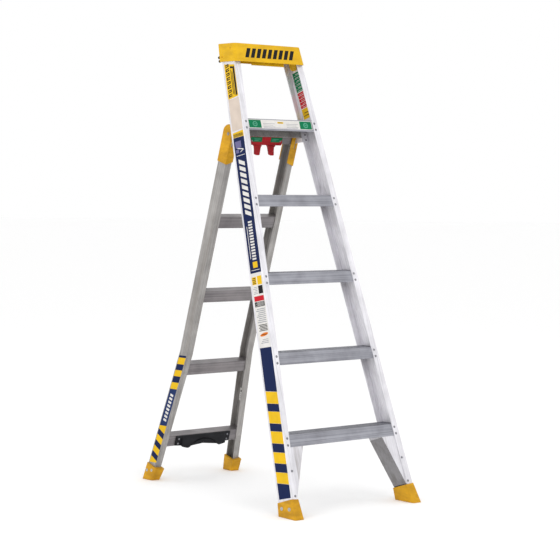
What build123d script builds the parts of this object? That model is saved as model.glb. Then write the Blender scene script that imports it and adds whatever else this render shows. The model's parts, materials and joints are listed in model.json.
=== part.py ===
from build123d import *
from math import acos, atan2, cos, hypot, radians, sin
import os

# Aluminium step ladder that also folds flat and opens out straight.
# Units are millimetres. +Z is up, the climbing side faces -Y, X = 0 is the
# plane of symmetry and Z = 0 is the floor.

# ---------------------------------------------------------------- front frame
front_lean = 18.0            # stiles lean back from vertical
step_rise = 300.0            # tread to tread, measured vertically
step_count = 5
half_gap_floor = 290.0       # half distance between the flange tips at s = 0
front_taper = 0.0789         # the stiles close in by this much per mm of length
stile_flange = 29.0
stile_depth = 80.0
flange_wall = 3.0
web_wall = 2.5
stile_bottom = 33.0          # distances along the lean, from the floor line
stile_top = 1888.0

skirt_height = 46.0          # front face of each tread
tread_wall = 2.2
lip_width = 15.0
rib_pitch = 6.0

rivet_head = 5.0
rivet_shank = 2.4
rivet_hole = 2.45

# ----------------------------------------------------------------- rear frame
rear_lean = 17.5
rear_half_width = 173.5      # outside of the straight upper part
rear_flange = 29.0
rear_depth = 50.0
rear_wall = 3.0
knee_down = 944.0            # where the legs start to flare, from the pivot
flare = 0.0951               # outwards per mm below the knee
rung_pitch = 321.8
rung_first = 345.0           # top edge of the uppermost rung, from the pivot
rung_height = 48.5
rung_wall = 2.0

# ---------------------------------------------------------------------- pivot
pivot_along = 1555.0         # along the front lean
pivot_behind = 41.5          # behind the front stile's rear edge
pivot_inset = 17.0           # behind the rear stile's front face
pin_radius = 5.0
pin_clearance = 0.05
plate_outer = 166.0          # outboard face of the hinge plate
plate_thick = 5.0
disc_radius = 31.5
lock_reach = 23.0            # pivot to lock rod
lock_hole = 4.3
rod_radius = 4.0
fold_angle = front_lean + rear_lean
open_angle = 142.5           # from standing to fully opened out

# ------------------------------------------------------------------ mouldings
boot_top = 76.0
cap_wall = 3.0
cap_bottom = 1728.0
cap_top = 1801.0
cover_wall = 3.5
cover_length = 122.0
cover_radius = 38.0

os.makedirs("parts", exist_ok=True)
pieces = {}

ca, sa = cos(radians(front_lean)), sin(radians(front_lean))
cb, sb = cos(radians(rear_lean)), sin(radians(rear_lean))


def front_point(x, s, d):
    """Point at x, s along the lean and d behind the front faces."""
    return (x, s * sa + d * ca, s * ca - d * sa)


pivot = front_point(0, pivot_along, stile_depth + pivot_behind)


def rear_point(x, down, forward):
    """Point at x, down the leg from the pivot and forward of the pivot."""
    y = pivot[1] + down * sb - forward * cb
    z = pivot[2] - down * cb - forward * sb
    return (x, y, z)


# Working planes: elevations look at the frames square on, sections cut them.
front_elevation = Plane(origin=(0, 0, 0), x_dir=(1, 0, 0), z_dir=(0, -ca, sa))
front_section = Plane(origin=(0, 0, 0), x_dir=(0, ca, -sa), z_dir=(1, 0, 0))
rear_elevation = Plane(origin=pivot, x_dir=(1, 0, 0), z_dir=(0, -cb, -sb))
rear_section = Plane(origin=pivot, x_dir=(0, -cb, -sb), z_dir=(-1, 0, 0))


def half_gap(s):
    return half_gap_floor - front_taper * s


def half_outer(s):
    return half_gap(s) + stile_flange


def rear_outer(down):
    return rear_half_width + flare * max(0.0, down - knee_down)


def mirrored(source):
    """The same piece on the other side of the ladder."""
    with BuildPart() as copy:
        mirror(source.part, about=Plane.YZ)
    return copy


def both_sides(source):
    """One node with the piece and its mirror image as separate solids."""
    with BuildPart() as pair:
        add(source.part)
        mirror(source.part, about=Plane.YZ)
    return pair


def rivet_group(planes, grip, head=rivet_head, shank=rivet_shank, rise=1.8):
    """Rivets whose heads sit on the given planes and grip what is below."""
    with BuildPart() as group:
        with BuildSketch(*planes):
            Circle(shank)
        extrude(amount=-grip)
        if rise > 0:
            with BuildSketch(*planes):
                Circle(head)
            extrude(amount=rise, taper=35)
            # the mandrel leaves a small pit in a blind rivet's head
            with BuildSketch(*[plane.offset(rise + 0.1) for plane in planes]):
                Circle(shank * 0.55)
            extrude(amount=-rise, mode=Mode.SUBTRACT)
        with BuildSketch(*[plane.offset(-grip) for plane in planes]):
            Circle(shank * 1.6)
        extrude(amount=-1.4)
    return group


def front_face_plane(x, s, d):
    return Plane(origin=front_point(x, s, d), x_dir=(1, 0, 0), z_dir=(0, -ca, sa))


def back_face_plane(x, s, d):
    return Plane(origin=front_point(x, s, d), x_dir=(1, 0, 0), z_dir=(0, ca, -sa))


# ---------------------------------------------------------------- tread places
def tread_s(level, d):
    """Where a tread's top is, along the lean, at depth d."""
    return (step_rise * level + d * sa) / ca


skirt_drop = skirt_height * ca


def tread_rivet_spots(level):
    top = tread_s(level, 0)
    return [top - 11, top - 37]


front_spots = []
back_spots = []
for level in range(1, step_count + 1):
    for s in tread_rivet_spots(level):
        for side in (-1, 1):
            front_spots.append((side * (half_gap(s) + 10.5), s))
            back_spots.append((side * (half_gap(s + 22) + 10.5), s + 22))

# --------------------------------------------------------------- hinge places
plate_foot = (1512.0, 1554.0)
plate_foot_out = 192.0
plate_rivet_s = (1521.0, 1543.0)
plate_rivet_x = 181.0

# ---------------------------------------------------------------- brace places
brace_top_z = step_rise - skirt_drop - 0.1
brace_inner_top = 204.0
brace_inner_low = 281.0
brace_low = 77.0
brace_wall = 2.4
brace_spots = [87.0, 181.0]

# ------------------------------------------------------------ foot and cap pins
front_foot_spots = [(41.0, 13.0), (51.0, 57.0)]
cap_spots = [(1876.0, 12.0), (1859.0, 69.5)]

# ------------------------------------------------------------------ the stiles
axis_len = hypot(1, front_taper)
left_axis = (
    front_taper / axis_len,
    sa / axis_len,
    ca / axis_len,
)
left_inward = (
    1 / axis_len,
    -front_taper * sa / axis_len,
    -front_taper * ca / axis_len,
)


def side_plane(side, s, d, out=0.0):
    """Plane outside the left (-1) or right (1) web, facing outboard."""
    return Plane(
        origin=front_point(side * half_outer(s), s, d),
        x_dir=(0, -ca, sa),
        z_dir=(side, front_taper * sa, front_taper * ca),
    ).offset(out)


def left_cross_plane(s):
    """Plane square to the left stile, x inboard and y to the rear."""
    return Plane(
        origin=front_point(-half_outer(s), s, 0),
        x_dir=left_inward,
        z_dir=left_axis,
    )


with BuildPart() as front_stile_left:
    with BuildSketch(left_cross_plane(stile_bottom)):
        Rectangle(stile_flange, stile_depth, align=(Align.MIN, Align.MIN))
        with Locations((web_wall, flange_wall)):
            Rectangle(
                stile_flange,
                stile_depth - 2 * flange_wall,
                align=(Align.MIN, Align.MIN),
                mode=Mode.SUBTRACT,
            )
    extrude(amount=(stile_top - stile_bottom) * axis_len)
    outer_corners = front_stile_left.edges().filter_by(lambda e: e.length > 1500)
    fillet(outer_corners.sort_by(Axis.X)[:2], radius=1.5)
    holes = [front_face_plane(x, s, -1) for x, s in front_spots if x < 0]
    holes += [back_face_plane(x, s, stile_depth + 1) for x, s in back_spots if x < 0]
    holes += [front_face_plane(-half_gap(s) - 7.5, s, -1) for s in brace_spots]
    holes += [back_face_plane(-half_gap(s) - 7.5, s, stile_depth + 1) for s in brace_spots]
    holes += [
        back_face_plane(-plate_rivet_x, s, stile_depth + 1) for s in plate_rivet_s
    ]
    holes += [side_plane(-1, s, d, 1) for s, d in front_foot_spots]
    holes += [side_plane(-1, s, d, 1) for s, d in cap_spots]
    with BuildSketch(*holes):
        Circle(rivet_hole)
    extrude(amount=-5, mode=Mode.SUBTRACT)

pieces["front_stile_left"] = front_stile_left
pieces["front_stile_right"] = mirrored(front_stile_left)


# ------------------------------------------------------------------ the treads
def lean_point(z, d):
    """Where height z meets depth d, in the plane square to the treads."""
    return (z * sa / ca + d / ca, z)


def make_tread(level):
    """Hollow extruded tread, open below, cut to the taper of the stiles."""
    front = flange_wall
    back = stile_depth - flange_wall
    rise = step_rise * level
    low = rise - skirt_drop
    with BuildPart() as tread:
        with BuildSketch(Plane.YZ.offset(-330)):
            with BuildLine():
                Polyline(
                    lean_point(rise, front),
                    lean_point(rise, back),
                    lean_point(low, back),
                    lean_point(low, front),
                    close=True,
                )
            make_face()
            with BuildLine():
                Polyline(
                    lean_point(rise - tread_wall, front + tread_wall),
                    lean_point(rise - tread_wall, back - tread_wall),
                    lean_point(low - 0.1, back - tread_wall),
                    lean_point(low - 0.1, front + tread_wall),
                    close=True,
                )
            make_face(mode=Mode.SUBTRACT)
            with Locations(lean_point(low, front + 1)):
                Rectangle(lip_width, tread_wall, align=(Align.MIN, Align.MIN))
            if level < step_count:
                with Locations(lean_point(low, back - 1)):
                    Rectangle(lip_width, tread_wall, align=(Align.MAX, Align.MIN))
            middle = lean_point(rise, (front + back) / 2)
            with Locations((middle[0], rise - 0.1)):
                with GridLocations(rib_pitch, 1, 11, 1):
                    Rectangle(2.4, 1.3, align=(Align.CENTER, Align.MIN))
        extrude(amount=660)
        # ends follow the inner faces of the webs
        low_s, high_s = rise / ca - 80, rise / ca + 80
        with BuildSketch(front_elevation.offset(40)):
            with BuildLine():
                Polyline(
                    (-half_outer(low_s) + web_wall + 0.1, low_s),
                    (half_outer(low_s) - web_wall - 0.1, low_s),
                    (half_outer(high_s) - web_wall - 0.1, high_s),
                    (-half_outer(high_s) + web_wall + 0.1, high_s),
                    close=True,
                )
            make_face()
        extrude(amount=-200, mode=Mode.INTERSECT)
        near = [spot for spot in front_spots if abs(spot[1] - rise / ca) < 60]
        far = [spot for spot in back_spots if abs(spot[1] - rise / ca) < 60]
        with BuildSketch(*[front_face_plane(x, s, -1) for x, s in near]):
            Circle(rivet_hole)
        extrude(amount=-9, mode=Mode.SUBTRACT)
        with BuildSketch(*[back_face_plane(x, s, stile_depth + 1) for x, s in far]):
            Circle(rivet_hole)
        extrude(amount=-9, mode=Mode.SUBTRACT)
    return tread


for level in range(1, step_count + 1):
    pieces[f"step_{level}"] = make_tread(level)

# lips of the lowest tread take the knee braces' rivets
lip_spots = []
lip_y_front = lean_point(step_rise - skirt_drop, flange_wall)[0] + 9.5
lip_y_back = lean_point(step_rise - skirt_drop, stile_depth - flange_wall)[0] - 9.5
for side in (-1, 1):
    for y in (lip_y_front, lip_y_back):
        lip_spots.append(Plane(origin=(side * 226, y, brace_top_z - brace_wall), z_dir=(0, 0, -1)))
with BuildPart() as step_1:
    add(pieces["step_1"].part)
    with BuildSketch(*lip_spots):
        Circle(rivet_hole)
    extrude(amount=-9, mode=Mode.SUBTRACT)
pieces["step_1"] = step_1

back_rail_low = 1530.0
back_rail_top = 1588.0
rail_face = stile_depth - flange_wall - tread_wall
rail_spots = [(x, 1573.0) for x in (-120, -40, 40, 120)]
with BuildPart() as step_5:
    add(pieces["step_5"].part)
    with BuildSketch(*[back_face_plane(x, s, rail_face + 6) for x, s in rail_spots]):
        Circle(rivet_hole)
    extrude(amount=-9, mode=Mode.SUBTRACT)
pieces["step_5"] = step_5

planes = [front_face_plane(x, s, 0) for x, s in front_spots]
planes += [back_face_plane(x, s, stile_depth) for x, s in back_spots]
pieces["step_rivets"] = rivet_group(planes, flange_wall + tread_wall)

# ------------------------------------------------------------- the back rail
with BuildPart() as back_rail:
    with BuildSketch(front_section.offset(-160)):
        with Locations((rail_face - 2.4, back_rail_low)):
            Rectangle(2.4, back_rail_top - back_rail_low, align=(Align.MIN, Align.MIN))
    extrude(amount=320)
    with BuildSketch(*[back_face_plane(x, s, rail_face + 6) for x, s in rail_spots]):
        Circle(rivet_hole)
    extrude(amount=-12, mode=Mode.SUBTRACT)
pieces["back_rail"] = back_rail
planes = [back_face_plane(x, s, rail_face + tread_wall) for x, s in rail_spots]
pieces["back_rail_rivets"] = rivet_group(planes, 2.4 + tread_wall, head=4.5)

# ------------------------------------------------------------ the knee braces
with BuildPart() as knee_brace_left:
    s_top = 300.0
    outline = [
        (-half_gap(brace_low) - 22, brace_low),
        (-brace_inner_low, brace_low),
        (-brace_inner_top, 269),
        (-brace_inner_top + 9, s_top),
        (-half_gap(s_top) - 22, s_top),
    ]
    for near_face in (flange_wall, stile_depth - flange_wall - brace_wall):
        with BuildSketch(front_elevation.offset(-near_face)):
            with BuildLine():
                Polyline(*outline, close=True)
            make_face()
        extrude(amount=-brace_wall)
    # sloping web between the two gussets
    with BuildSketch(front_elevation.offset(-flange_wall)):
        with BuildLine():
            Polyline(
                (-brace_inner_low, brace_low),
                (-brace_inner_top, 269),
                (-brace_inner_top + 9, s_top),
                (-brace_inner_top + 6.4, s_top),
                (-brace_inner_top - 2.8, 269),
                (-brace_inner_low - 2.8, brace_low),
                close=True,
            )
        make_face()
    extrude(amount=-(stile_depth - 2 * flange_wall))
    # everything stops level with the underside of the lowest tread
    with Locations((-240, 100, brace_top_z)):
        Box(200, 300, 120, align=(Align.CENTER, Align.CENTER, Align.MIN), mode=Mode.SUBTRACT)
    y_tab = lean_point(brace_top_z, flange_wall)[0] + 0.8
    tab_depth = lean_point(brace_top_z, stile_depth - flange_wall)[0] - y_tab - 0.8
    with BuildSketch(Plane.XY.offset(brace_top_z - brace_wall)):
        with Locations((-brace_inner_top - 1, y_tab)):
            Rectangle(42, tab_depth, align=(Align.MAX, Align.MIN))
    extrude(amount=brace_wall)
    holes = [front_face_plane(-half_gap(s) - 7.5, s, -1) for s in brace_spots]
    holes += [back_face_plane(-half_gap(s) - 7.5, s, stile_depth + 1) for s in brace_spots]
    holes += [plane.offset(1) for plane in lip_spots if plane.origin.X < 0]
    with BuildSketch(*holes):
        Circle(rivet_hole)
    extrude(amount=-8, mode=Mode.SUBTRACT)
pieces["knee_brace_left"] = knee_brace_left
pieces["knee_brace_right"] = mirrored(knee_brace_left)

planes = []
for s in brace_spots:
    for side in (-1, 1):
        x = side * (half_gap(s) + 7.5)
        planes.append(front_face_plane(x, s, 0))
        planes.append(back_face_plane(x, s, stile_depth))
brace_rivets = rivet_group(planes, flange_wall + brace_wall)
lip_rivets = rivet_group(lip_spots, brace_wall + 0.1 + tread_wall)
with BuildPart() as all_brace_rivets:
    add(brace_rivets.part)
    add(lip_rivets.part)
pieces["brace_rivets"] = all_brace_rivets


# ------------------------------------------------------------- the front boots
def boot_outline(grow_front, grow_back, grow_out, grow_in, width, depth, radius):
    """Rounded rectangle around a stile section, drawn on its cross plane."""
    wide = width + grow_out + grow_in
    deep = depth + grow_front + grow_back
    with Locations(((width + grow_in - grow_out) / 2, (depth + grow_back - grow_front) / 2)):
        RectangleRounded(wide, deep, radius)


with BuildPart() as front_foot_left:
    with BuildSketch(left_cross_plane(-36)):
        boot_outline(22, 10, 6.5, 12, stile_flange, stile_depth, 8)
    with BuildSketch(left_cross_plane(boot_top)):
        boot_outline(3.5, 3.5, 3.5, 6, stile_flange, stile_depth, 6)
    loft()
    with BuildSketch(left_cross_plane(stile_bottom)):
        with Locations((-0.1, -0.1)):
            Rectangle(stile_flange + 0.2, stile_depth + 0.2, align=(Align.MIN, Align.MIN))
    extrude(amount=60, mode=Mode.SUBTRACT)
    with Locations((-300, 0, 0)):
        Box(200, 400, 200, align=(Align.CENTER, Align.CENTER, Align.MAX), mode=Mode.SUBTRACT)
    # sole grooves
    with BuildSketch(Plane.XY):
        with Locations((-303, 38)):
            with GridLocations(1, 14, 1, 6):
                Rectangle(60, 4)
    extrude(amount=2.5, mode=Mode.SUBTRACT)
    with BuildSketch(*[side_plane(-1, s, d, 9) for s, d in front_foot_spots]):
        Circle(rivet_hole)
    extrude(amount=-12, mode=Mode.SUBTRACT)
pieces["front_foot_left"] = front_foot_left
pieces["front_foot_right"] = mirrored(front_foot_left)

planes = [side_plane(-1, s, d, 5.1) for s, d in front_foot_spots]
pieces["front_foot_rivets"] = both_sides(rivet_group(planes, 5.1 + web_wall, head=7.5))

# ------------------------------------------------------------------ the top cap
cap_front = -16.0
cap_back_low = 91.0
cap_back_top = 87.0


def cap_corners(z, inset, back_d):
    """Half width, front and rear of the cap at height z, inset from outside."""
    half_x = half_outer(z / ca) + cap_wall + 0.1 - inset
    return (half_x, lean_point(z, cap_front)[0] + inset, lean_point(z, back_d)[0] - inset)


# rounded tabs that hang from the cap down the inside of each stile
with BuildPart() as cap_tabs:
    for side in (-1, 1):
        with BuildSketch(side_plane(side, 1829, 45.5, -web_wall - 0.3)):
            Circle(19)
            with Locations((0, -side * 40)):
                Rectangle(38, 80)
        extrude(amount=-8)
    with Locations((0, 600, cap_top - 1)):
        Box(600, 600, 100, align=(Align.CENTER, Align.CENTER, Align.MIN), mode=Mode.SUBTRACT)

tray_y = lean_point(cap_top, 38)[0]
cap_ends = ((cap_bottom, cap_back_low), (cap_top, cap_back_top))
hollow_ends = ((cap_bottom - 0.1, cap_back_low), (cap_top - 4, cap_back_top))
with BuildPart() as top_cap:
    for z, back_d in cap_ends:
        half_x, y_front, y_back = cap_corners(z, 0, back_d)
        with BuildSketch(Plane.XY.offset(z)):
            with BuildLine():
                FilletPolyline((0, y_front), (half_x, y_front), (half_x, y_front + 50), radius=18)
                Line((half_x, y_front + 50), (half_x, y_back - 30))
                FilletPolyline((half_x, y_back - 30), (half_x, y_back), (0, y_back), radius=8)
                mirror(about=Plane.YZ)
            make_face()
    loft(ruled=True)
    fillet(top_cap.faces().sort_by(Axis.Z)[-1].edges(), radius=2.5)
    for z, back_d in hollow_ends:
        half_x, y_front, y_back = cap_corners(z, cap_wall, back_d)
        with BuildSketch(Plane.XY.offset(z)):
            with BuildLine():
                FilletPolyline((0, y_front), (half_x, y_front), (half_x, y_front + 50), radius=12.5)
                Line((half_x, y_front + 50), (half_x, y_back - 30))
                FilletPolyline((half_x, y_back - 30), (half_x, y_back), (0, y_back), radius=5)
                mirror(about=Plane.YZ)
            make_face()
    loft(ruled=True, mode=Mode.SUBTRACT)
    # shallow tool tray
    with BuildSketch(Plane.XY.offset(cap_top)):
        with Locations((0, tray_y)):
            RectangleRounded(250, 58, 12)
    extrude(amount=-1.5, mode=Mode.SUBTRACT)
    # finger lip behind the front wall, and stiffening ribs under the top
    with BuildSketch(front_elevation.offset(-8)):
        with Locations((0, 1808)):
            Rectangle(168, 85, align=(Align.CENTER, Align.MIN))
    extrude(amount=-3)
    with Locations((0, tray_y, cap_top - 3)):
        with GridLocations(80, 1, 4, 1):
            Box(2.4, 80, 30, align=(Align.CENTER, Align.CENTER, Align.MAX))
    add(cap_tabs.part)
    cap_holes = [side_plane(side, s, d, 9) for side in (-1, 1) for s, d in cap_spots]
    with BuildSketch(*cap_holes):
        Circle(rivet_hole)
    extrude(amount=-12, mode=Mode.SUBTRACT)
pieces["top_cap"] = top_cap

planes = [side_plane(-1, s, d, cap_wall + 0.28 + front_taper * d * sa / ca) for s, d in cap_spots]
pieces["cap_screws"] = both_sides(rivet_group(planes, 7.8, head=4))

with BuildPart() as bumper:
    with BuildSketch(back_face_plane(-171, 1866, 88.3), back_face_plane(-171, 1851, 89)):
        Circle(6)
    extrude(amount=8.5, taper=8)
    with BuildSketch(Plane.YZ.offset(-200)):
        with BuildLine():
            Polyline(
                lean_point(cap_bottom - 30, cap_back_low + 1.65),
                lean_point(cap_top, cap_back_top),
                lean_point(cap_top, 60),
                lean_point(cap_bottom - 30, 60),
                close=True,
            )
        make_face()
    extrude(amount=100, mode=Mode.SUBTRACT)
pieces["cap_bumpers"] = both_sides(bumper)

# ------------------------------------------------------------ the hinge plates
foot_d = stile_depth - flange_wall - 0.1
foot_thick = 4.0
ear_inner = plate_outer - plate_thick
pivot_d = stile_depth + pivot_behind


def tangent_point(corner, upper):
    """Where a line from a corner touches the disc, seen from its centre."""
    away_s, away_d = corner[1] - pivot_along, corner[0] - pivot_d
    turn = acos(disc_radius / hypot(away_s, away_d))
    angle = atan2(away_d, away_s) + (turn if upper else -turn)
    return (pivot_d + disc_radius * sin(angle), pivot_along + disc_radius * cos(angle))


lock_angles = (0, -fold_angle, open_angle)
with BuildPart() as hinge_plate_left:
    low_corner = (foot_d - foot_thick, plate_foot[0])
    high_corner = (foot_d - foot_thick, plate_foot[1])
    with BuildSketch(front_section.offset(-plate_outer)):
        with Locations((pivot_d, pivot_along)):
            Circle(disc_radius)
        with BuildLine():
            Polyline(
                low_corner,
                tangent_point(low_corner, False),
                (pivot_d, pivot_along),
                tangent_point(high_corner, True),
                high_corner,
                close=True,
            )
        make_face()
    extrude(amount=plate_thick)
    with BuildSketch(front_section.offset(-plate_foot_out)):
        with Locations((foot_d, plate_foot[0])):
            Rectangle(foot_thick, plate_foot[1] - plate_foot[0], align=(Align.MAX, Align.MIN))
    extrude(amount=plate_foot_out - ear_inner)
    with BuildSketch(front_section.offset(-plate_outer - 1)):
        with Locations((pivot_d, pivot_along)):
            Circle(pin_radius + pin_clearance)
    extrude(amount=plate_thick + 2, mode=Mode.SUBTRACT)
    # a lock hole for each of the three positions of the rear section
    with BuildSketch(Plane(origin=(-plate_outer - 1, pivot[1], pivot[2]), x_dir=(0, 1, 0), z_dir=(1, 0, 0))):
        for turn in lock_angles:
            angle = radians(270 + rear_lean + turn)
            with Locations((lock_reach * cos(angle), lock_reach * sin(angle))):
                Circle(lock_hole)
    extrude(amount=plate_thick + 2, mode=Mode.SUBTRACT)
    with BuildSketch(*[back_face_plane(-plate_rivet_x, s, stile_depth + 1) for s in plate_rivet_s]):
        Circle(rivet_hole)
    extrude(amount=-12, mode=Mode.SUBTRACT)
pieces["hinge_plate_left"] = hinge_plate_left
pieces["hinge_plate_right"] = mirrored(hinge_plate_left)
planes = [back_face_plane(-plate_rivet_x, s, stile_depth) for s in plate_rivet_s]
pieces["hinge_plate_rivets"] = both_sides(rivet_group(planes, flange_wall + 0.1 + foot_thick))

# ------------------------------------------------------------- the rear stiles
floor_down = pivot[2] / cb - pivot_inset * sb / cb
leg_down = floor_down - 12.0
flare_len = hypot(1, flare)
front_b = pivot_inset
back_b = pivot_inset - rear_depth
slot_inner = ear_inner - 0.5
slot_outer = plate_outer + 0.5


def rear_outline(inset, width, top, bottom):
    """Strip along the left leg in elevation: straight, then flared."""
    knee_x = -rear_half_width + inset
    foot_x = -rear_outer(bottom) + inset
    return [
        (knee_x, -top),
        (knee_x, -knee_down),
        (foot_x, -bottom),
        (foot_x + width, -bottom),
        (knee_x + width, -knee_down),
        (knee_x + width, -top),
    ]


def rear_side_plane(down, behind, out=0.0):
    """Plane outside the flared part of the left leg, facing outboard."""
    return Plane(
        origin=rear_point(-rear_outer(down), down, front_b - behind),
        x_dir=(0, cb, sb),
        z_dir=(-1, -flare * sb, flare * cb),
    ).offset(out)


def rear_front_plane(x, down, forward=front_b):
    return Plane(origin=rear_point(x, down, forward), x_dir=(1, 0, 0), z_dir=(0, -cb, -sb))


def rear_back_plane(x, down, forward=back_b):
    return Plane(origin=rear_point(x, down, forward), x_dir=(1, 0, 0), z_dir=(0, cb, sb))


def rung_spots(number):
    top = rung_first + rung_pitch * (number - 1)
    return [(-rear_outer(top + drop) + 14, top + drop) for drop in (13, 35.5)]


rung_rivet_spots = [spot for number in range(1, 5) for spot in rung_spots(number)]
bar_top = 4.0
bar_height = 28.0
bar_half = ear_inner - 1.6
bar_wall = 1.8
bar_rivet_spots = [(-151.0, bar_top + 8), (-151.0, bar_top + 20)]
rear_foot_spots = [(floor_down - 28, 40.0), (floor_down - 40, 10.0)]


# clears the hinge plate's swing through the top of a leg and its cover
with BuildPart() as swing_slot:
    with BuildSketch(rear_section.offset(slot_inner)):
        with Locations((0, 60)):
            Rectangle(60, 110, align=(Align.MIN, Align.MAX))
            Rectangle(60, 80, align=(Align.MAX, Align.MAX))
    extrude(amount=slot_outer - slot_inner)

with BuildPart() as rear_stile_left:
    with BuildSketch(rear_elevation.offset(front_b)):
        with BuildLine():
            Polyline(*rear_outline(0, rear_flange, -36, leg_down), close=True)
        make_face()
    extrude(amount=-rear_depth)
    with BuildSketch(rear_elevation.offset(front_b - rear_wall)):
        with BuildLine():
            Polyline(*rear_outline(rear_wall, rear_flange, -37, leg_down + 1), close=True)
        make_face()
    extrude(amount=-rear_depth + 2 * rear_wall, mode=Mode.SUBTRACT)
    # rounded top
    with BuildSketch(rear_section.offset(130)):
        Circle(cover_radius - cover_wall - 0.3)
        Rectangle(120, 1600, align=(Align.CENTER, Align.MAX))
    extrude(amount=120, mode=Mode.INTERSECT)
    add(swing_slot.part, mode=Mode.SUBTRACT)
    with BuildSketch(rear_section.offset(160)):
        Circle(pin_radius + pin_clearance)
    extrude(amount=20, mode=Mode.SUBTRACT)
    front_holes = [rear_front_plane(x, a, front_b + 1) for x, a in rung_rivet_spots + bar_rivet_spots]
    back_holes = [rear_back_plane(x, a, back_b - 1) for x, a in rung_rivet_spots + bar_rivet_spots]
    side_holes = [rear_side_plane(a, behind, 1) for a, behind in rear_foot_spots]
    with BuildSketch(*front_holes, *back_holes, *side_holes):
        Circle(rivet_hole)
    extrude(amount=-5, mode=Mode.SUBTRACT)
pieces["rear_stile_left"] = rear_stile_left
pieces["rear_stile_right"] = mirrored(rear_stile_left)

# ------------------------------------------------------------------- the rungs
tube_front = front_b - rear_wall - 0.1
tube_back = back_b + rear_wall + 0.1


def make_rung(number):
    """Box-section rung riveted between the flanges of the legs."""
    top = rung_first + rung_pitch * (number - 1)
    with BuildPart() as rung:
        with BuildSketch(rear_section.offset(-260)):
            with Locations(((tube_front + tube_back) / 2, -top - rung_height / 2)):
                RectangleRounded(tube_front - tube_back, rung_height, 3)
                RectangleRounded(
                    tube_front - tube_back - 2 * rung_wall,
                    rung_height - 2 * rung_wall,
                    1.5,
                    mode=Mode.SUBTRACT,
                )
        extrude(amount=520)
        with BuildSketch(rear_elevation.offset(40)):
            with BuildLine():
                Polyline(
                    (-rear_outer(top - 20) + rear_wall + 0.1, -top + 20),
                    (rear_outer(top - 20) - rear_wall - 0.1, -top + 20),
                    (rear_outer(top + 70) - rear_wall - 0.1, -top - 70),
                    (-rear_outer(top + 70) + rear_wall + 0.1, -top - 70),
                    close=True,
                )
            make_face()
        extrude(amount=-100, mode=Mode.INTERSECT)
        for side in (-1, 1):
            fronts = [rear_front_plane(side * -x, a, front_b + 1) for x, a in rung_spots(number)]
            backs = [rear_back_plane(side * -x, a, back_b - 1) for x, a in rung_spots(number)]
            with BuildSketch(*fronts, *backs):
                Circle(rivet_hole)
            extrude(amount=-7, mode=Mode.SUBTRACT)
    return rung


for number in range(1, 5):
    pieces[f"rung_{number}"] = make_rung(number)

# the lowest rung takes the screws of the pole rest
pad_screw_spots = [(x, floor_down - t) for x in (-128, 128) for t in (180, 159)]
with BuildPart() as rung_4:
    add(pieces["rung_4"].part)
    with BuildSketch(*[rear_front_plane(x, a, front_b) for x, a in pad_screw_spots]):
        Circle(rivet_hole)
    extrude(amount=-8, mode=Mode.SUBTRACT)
pieces["rung_4"] = rung_4

planes = [rear_front_plane(x, a) for x, a in rung_rivet_spots]
planes += [rear_back_plane(x, a) for x, a in rung_rivet_spots]
rung_rivets = rivet_group(planes, rear_wall + 0.1 + rung_wall, head=3.8, rise=0.7)
pieces["rung_rivets"] = both_sides(rung_rivets)

# ---------------------------------------------------------------- the lock bar
rod_down = lock_reach
lever_x = 35.0
lever_down = 9.0
lever_swing = 15.0
rod_travel = (rod_down - lever_down) * radians(lever_swing)
housing_screw_x = 74.0
housing_screw_down = 17.0

with BuildPart() as lock_bar:
    with BuildSketch(rear_section.offset(-bar_half)):
        with Locations(((tube_front + tube_back) / 2, -bar_top - bar_height / 2)):
            Rectangle(tube_front - tube_back, bar_height)
            Rectangle(
                tube_front - tube_back - 2 * bar_wall,
                bar_height - 2 * bar_wall,
                mode=Mode.SUBTRACT,
            )
    extrude(amount=2 * bar_half)
    for side in (-1, 1):
        fronts = [rear_front_plane(side * -x, a, front_b + 1) for x, a in bar_rivet_spots]
        backs = [rear_back_plane(side * -x, a, back_b - 1) for x, a in bar_rivet_spots]
        with BuildSketch(*fronts, *backs):
            Circle(rivet_hole)
        extrude(amount=-7, mode=Mode.SUBTRACT)
    # slots for the rods' drive pins, holes for lever pins and housing screws
    with BuildSketch(rear_elevation.offset(tube_front + 1)):
        for side in (-1, 1):
            with Locations((side * (lever_x - rod_travel / 2), -rod_down)):
                SlotOverall(rod_travel + 5.4, 5.4)
            with Locations((side * lever_x, -lever_down)):
                Circle(3)
            with Locations((side * housing_screw_x, -housing_screw_down)):
                Circle(rivet_hole)
    extrude(amount=-4, mode=Mode.SUBTRACT)
pieces["lock_bar"] = lock_bar
planes = [rear_front_plane(x, a) for x, a in bar_rivet_spots]
planes += [rear_back_plane(x, a) for x, a in bar_rivet_spots]
bar_rivets = rivet_group(planes, rear_wall + 0.1 + bar_wall, rise=0)
pieces["lock_bar_rivets"] = both_sides(bar_rivets)

with BuildPart() as rod_guide:
    with BuildSketch(rear_section.offset(118)):
        with Locations(((tube_front + tube_back) / 2, -bar_top - bar_height / 2)):
            Rectangle(
                tube_front - tube_back - 2 * bar_wall - 0.2,
                bar_height - 2 * bar_wall - 0.2,
            )
        with Locations((0, -rod_down)):
            Circle(rod_radius + 0.05, mode=Mode.SUBTRACT)
    extrude(amount=22)
pieces["rod_guides"] = both_sides(rod_guide)

# lever pivots: shoulder pins standing on the bar's front wall
with BuildPart() as lever_pin:
    with BuildSketch(rear_elevation.offset(tube_front - bar_wall)):
        with Locations((-lever_x, -lever_down)):
            Circle(3)
    extrude(amount=bar_wall + 12)
    with BuildSketch(rear_elevation.offset(21.0)):
        with Locations((-lever_x, -lever_down)):
            Circle(5)
    extrude(amount=1.5)
pieces["lever_pins"] = both_sides(lever_pin)

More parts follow.
